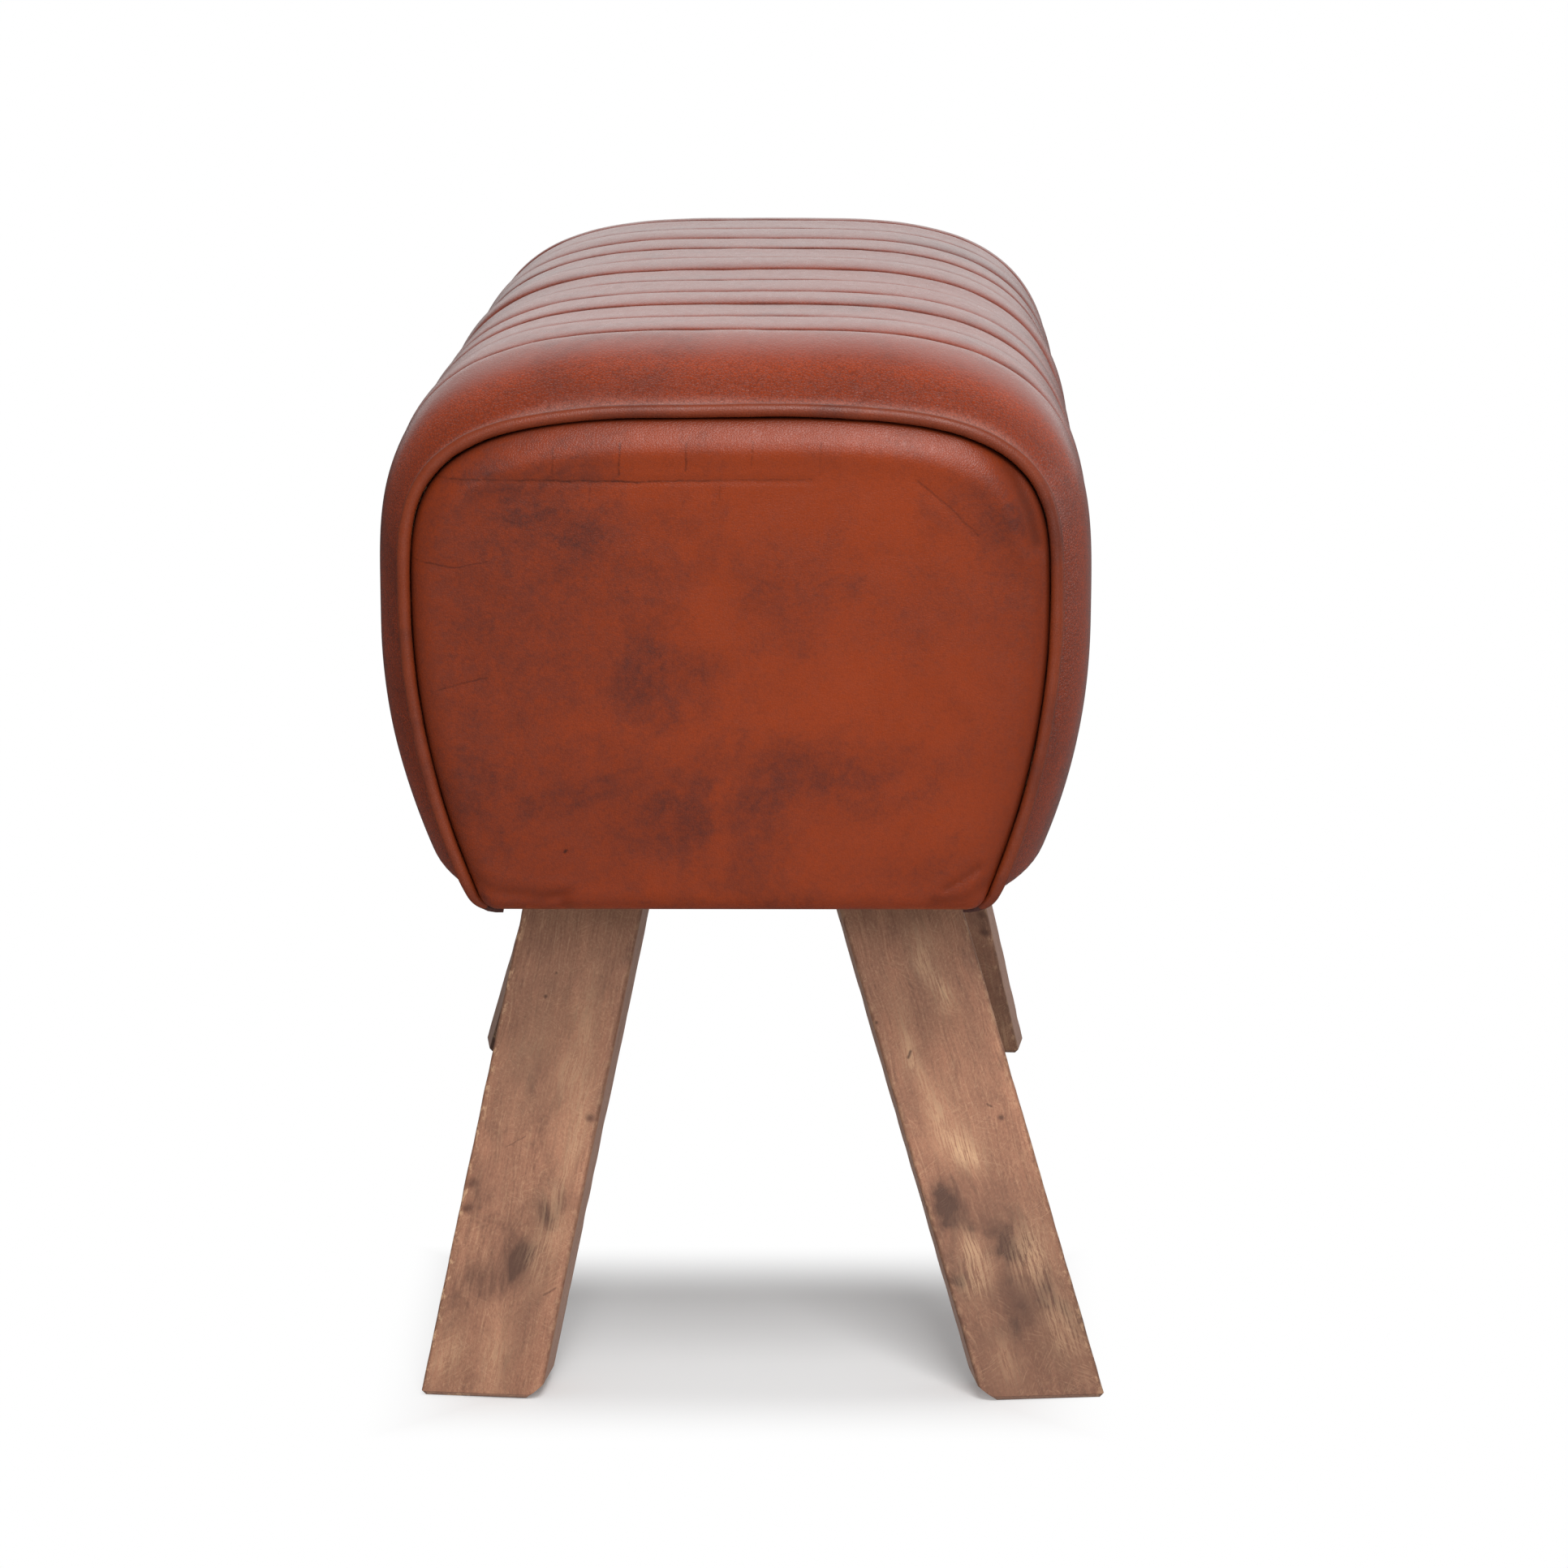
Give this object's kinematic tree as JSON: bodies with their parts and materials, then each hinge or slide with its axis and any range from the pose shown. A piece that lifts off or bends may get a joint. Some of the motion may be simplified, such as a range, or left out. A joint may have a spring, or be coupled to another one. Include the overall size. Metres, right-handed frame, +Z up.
{
  "type": "pommel horse bench",
  "caption": "Low padded bench in the form of a pommel horse, with a ribbed leather barrel on splayed wooden plank legs.",
  "frame": {"origin": "middle of the footprint, on the floor", "axes": "+Y along the body's length with the front end at -Y, +X across the body, +Z up"},
  "size_m": [0.3474, 0.67, 0.505],
  "materials": {
    "leg_wood": "waxed, worn",
    "zinc_steel": "zinc plated",
    "frame_timber": "planed",
    "plywood": "sanded",
    "foam": "open-cell foam",
    "wadding": "soft",
    "cotton_cloth": "plain weave",
    "rib_leather": "antiqued, waxed",
    "band_leather": "antiqued, waxed",
    "panel_leather": "antiqued, waxed",
    "piping_leather": "antiqued, waxed",
    "dust_cloth": "woven"
  },
  "bodies": {
    "root": {"leg_front_left": "leg_wood", "leg_front_right": "leg_wood", "leg_rear_left": "leg_wood", "leg_rear_right": "leg_wood", "leg_bolts": "zinc_steel", "leg_bolt_washers": "zinc_steel", "leg_bolt_nuts": "zinc_steel", "cross_rail_front": "frame_timber", "cross_rail_rear": "frame_timber", "side_rail_left": "frame_timber", "side_rail_right": "frame_timber", "waist_batten_left": "frame_timber", "waist_batten_right": "frame_timber", "shoulder_batten_left": "frame_timber", "shoulder_batten_right": "frame_timber", "top_deck": "plywood", "end_former_front": "plywood", "end_former_rear": "plywood", "centre_former": "plywood", "frame_screws": "zinc_steel", "cross_rail_screws": "zinc_steel", "foam_wrap": "foam", "foam_edge_front": "foam", "foam_edge_rear": "foam", "foam_end_front": "foam", "foam_end_rear": "foam", "channel_backing": "cotton_cloth", "rib_wadding": "wadding", "ribbed_cover": "rib_leather", "plain_band_front": "band_leather", "plain_band_rear": "band_leather", "end_panel_front": "panel_leather", "end_panel_rear": "panel_leather", "piping_front": "piping_leather", "piping_rear": "piping_leather", "piping_cord_front": "cotton_cloth", "piping_cord_rear": "cotton_cloth", "dust_cover": "dust_cloth", "dust_cover_tacks": "zinc_steel"}
  },
  "joints": []
}
